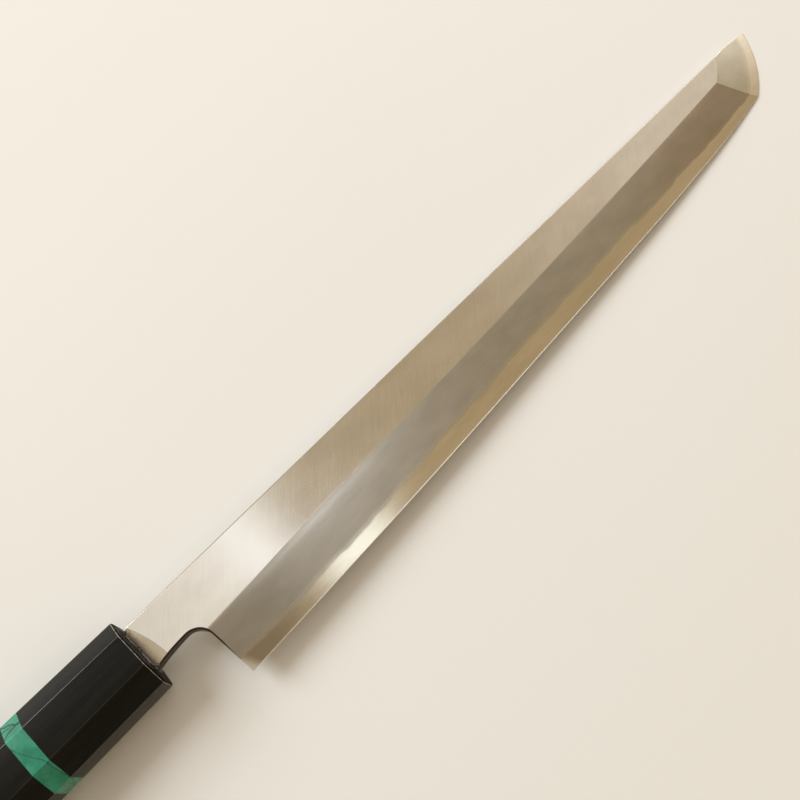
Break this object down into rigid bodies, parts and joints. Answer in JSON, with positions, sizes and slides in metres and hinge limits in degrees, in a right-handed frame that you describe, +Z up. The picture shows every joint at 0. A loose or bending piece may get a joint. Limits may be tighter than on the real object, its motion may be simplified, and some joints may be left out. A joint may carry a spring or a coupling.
{
  "type": "slicing knife",
  "caption": "long single-bevel Japanese slicing knife with a sword tip, clad blade with a hollow back, and an eight-sided black handle with a turquoise ring",
  "frame": {"origin": "on the table under the middle of the knife's outline, as it lies with the bevel up", "axes": "+X to the point, +Y to the spine, +Z up, out of the bevelled front"},
  "size_m": [0.4562, 0.0402, 0.0257],
  "materials": {
    "cladding_iron": "satin, bevel stone-misted",
    "edge_steel": "fine satin, brighter than the cladding",
    "ferrule_black": "near-black hardwood, polished with wax",
    "turquoise": "polished turquoise with dark veins",
    "body_black": "near-black hardwood, polished with wax",
    "dowel_wood": "plain light wood",
    "adhesive": "cured dark filling",
    "seal_resin": "glossy dark resin"
  },
  "bodies": {
    "root": {"jigane": "cladding_iron", "hagane": "edge_steel", "ferrule": "ferrule_black", "stone_ring": "turquoise", "handle_body": "body_black", "dowel": "dowel_wood", "tang_adhesive": "adhesive", "mouth_seal": "seal_resin"}
  },
  "joints": []
}
